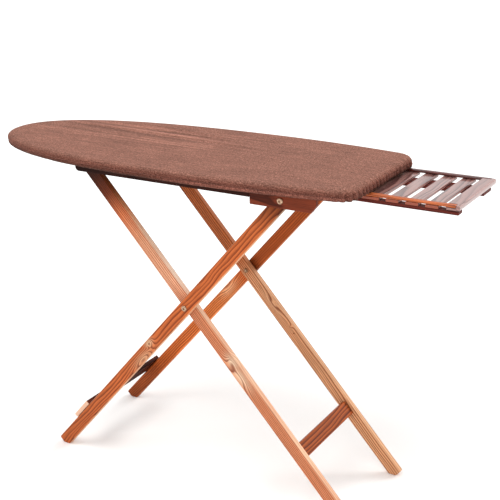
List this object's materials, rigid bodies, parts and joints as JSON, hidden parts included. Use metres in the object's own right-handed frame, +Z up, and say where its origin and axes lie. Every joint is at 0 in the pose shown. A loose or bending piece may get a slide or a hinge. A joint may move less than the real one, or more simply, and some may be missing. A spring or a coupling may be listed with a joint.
{
  "type": "ironing board",
  "caption": "Full-size folding wooden ironing board: padded cloth-covered top, crossed leg pairs and a slatted iron rest that slides out from the square end.",
  "frame": {"origin": "on the floor, under the middle of the whole object with the iron rest pulled out", "axes": "+X from the rounded nose towards the iron rest, +Y towards the far side (the side the iron rest is offset to), +Z up"},
  "size_m": [1.359, 0.441, 0.8907],
  "materials": {
    "plywood": "bare plywood",
    "felt": "needled felt",
    "cover_cloth": "woven cotton, dusty brown",
    "leg_pine": "red-brown stain under satin varnish",
    "dark_pine": "dark red-brown stain, satin",
    "rest_wood": "dark stain under satin varnish",
    "bolt_brass": "pale plated steel, slightly worn",
    "washer_nylon": "moulded nylon",
    "strap_steel": "flat steel strap"
  },
  "bodies": {
    "board": {"ironing_panel": "plywood", "felt_pad": "felt", "fabric_cover": "cover_cloth", "pivot_block_near": "dark_pine", "pivot_block_far": "dark_pine", "runner_near": "dark_pine", "runner_far": "dark_pine", "notch_rack_near": "dark_pine", "notch_rack_far": "dark_pine", "rest_guide_near": "dark_pine", "rest_guide_far": "dark_pine", "rest_strap_rear": "strap_steel", "rest_strap_front": "strap_steel", "rest_stop": "dark_pine", "pivot_bolt_near": "bolt_brass", "pivot_bolt_far": "bolt_brass", "pivot_nut_near": "bolt_brass", "pivot_nut_far": "bolt_brass", "pivot_washer_near": "washer_nylon", "pivot_washer_far": "washer_nylon"},
    "outer_legs": {"outer_leg_near": "leg_pine", "outer_leg_far": "leg_pine", "outer_stretcher": "leg_pine", "stretcher_screw_1": "bolt_brass", "stretcher_screw_2": "bolt_brass", "stretcher_screw_3": "bolt_brass", "stretcher_screw_4": "bolt_brass", "cross_bolt_near": "bolt_brass", "cross_bolt_far": "bolt_brass", "cross_nut_near": "bolt_brass", "cross_nut_far": "bolt_brass", "cross_washer_near": "washer_nylon", "cross_washer_far": "washer_nylon"},
    "inner_legs": {"inner_leg_near": "leg_pine", "inner_leg_far": "leg_pine", "inner_stretcher": "leg_pine", "top_bar": "leg_pine"},
    "iron_rest": {"rest_rail_near": "dark_pine", "rest_rail_far": "dark_pine", "rest_slat_1": "rest_wood", "rest_slat_2": "rest_wood", "rest_slat_3": "rest_wood", "rest_slat_4": "rest_wood", "rest_slat_5": "rest_wood", "rest_slat_6": "rest_wood", "rest_end_bar": "rest_wood", "rest_tail_bar": "rest_wood", "rest_strip_near": "leg_pine", "rest_strip_far": "leg_pine"}
  },
  "joints": [
    {"name": "leg_fold", "type": "hinge", "parent": "board", "child": "outer_legs", "pos_m": [0.28577, 0, 0.84725], "axis": [0, 1, 0], "range_deg": [0, 44.2]},
    {"name": "leg_cross", "type": "hinge", "parent": "outer_legs", "child": "inner_legs", "pos_m": [-0.0095, 0, 0.517], "axis": [0, 1, 0], "range_deg": [-88.5, 0]},
    {"name": "iron_rest_slide", "type": "slide", "parent": "board", "child": "iron_rest", "axis": [1, 0, 0], "range_m": [-0.218, 0]}
  ],
  "couplings": [
    {"joint": "leg_cross", "follows": "leg_fold", "ratio": -2}
  ]
}
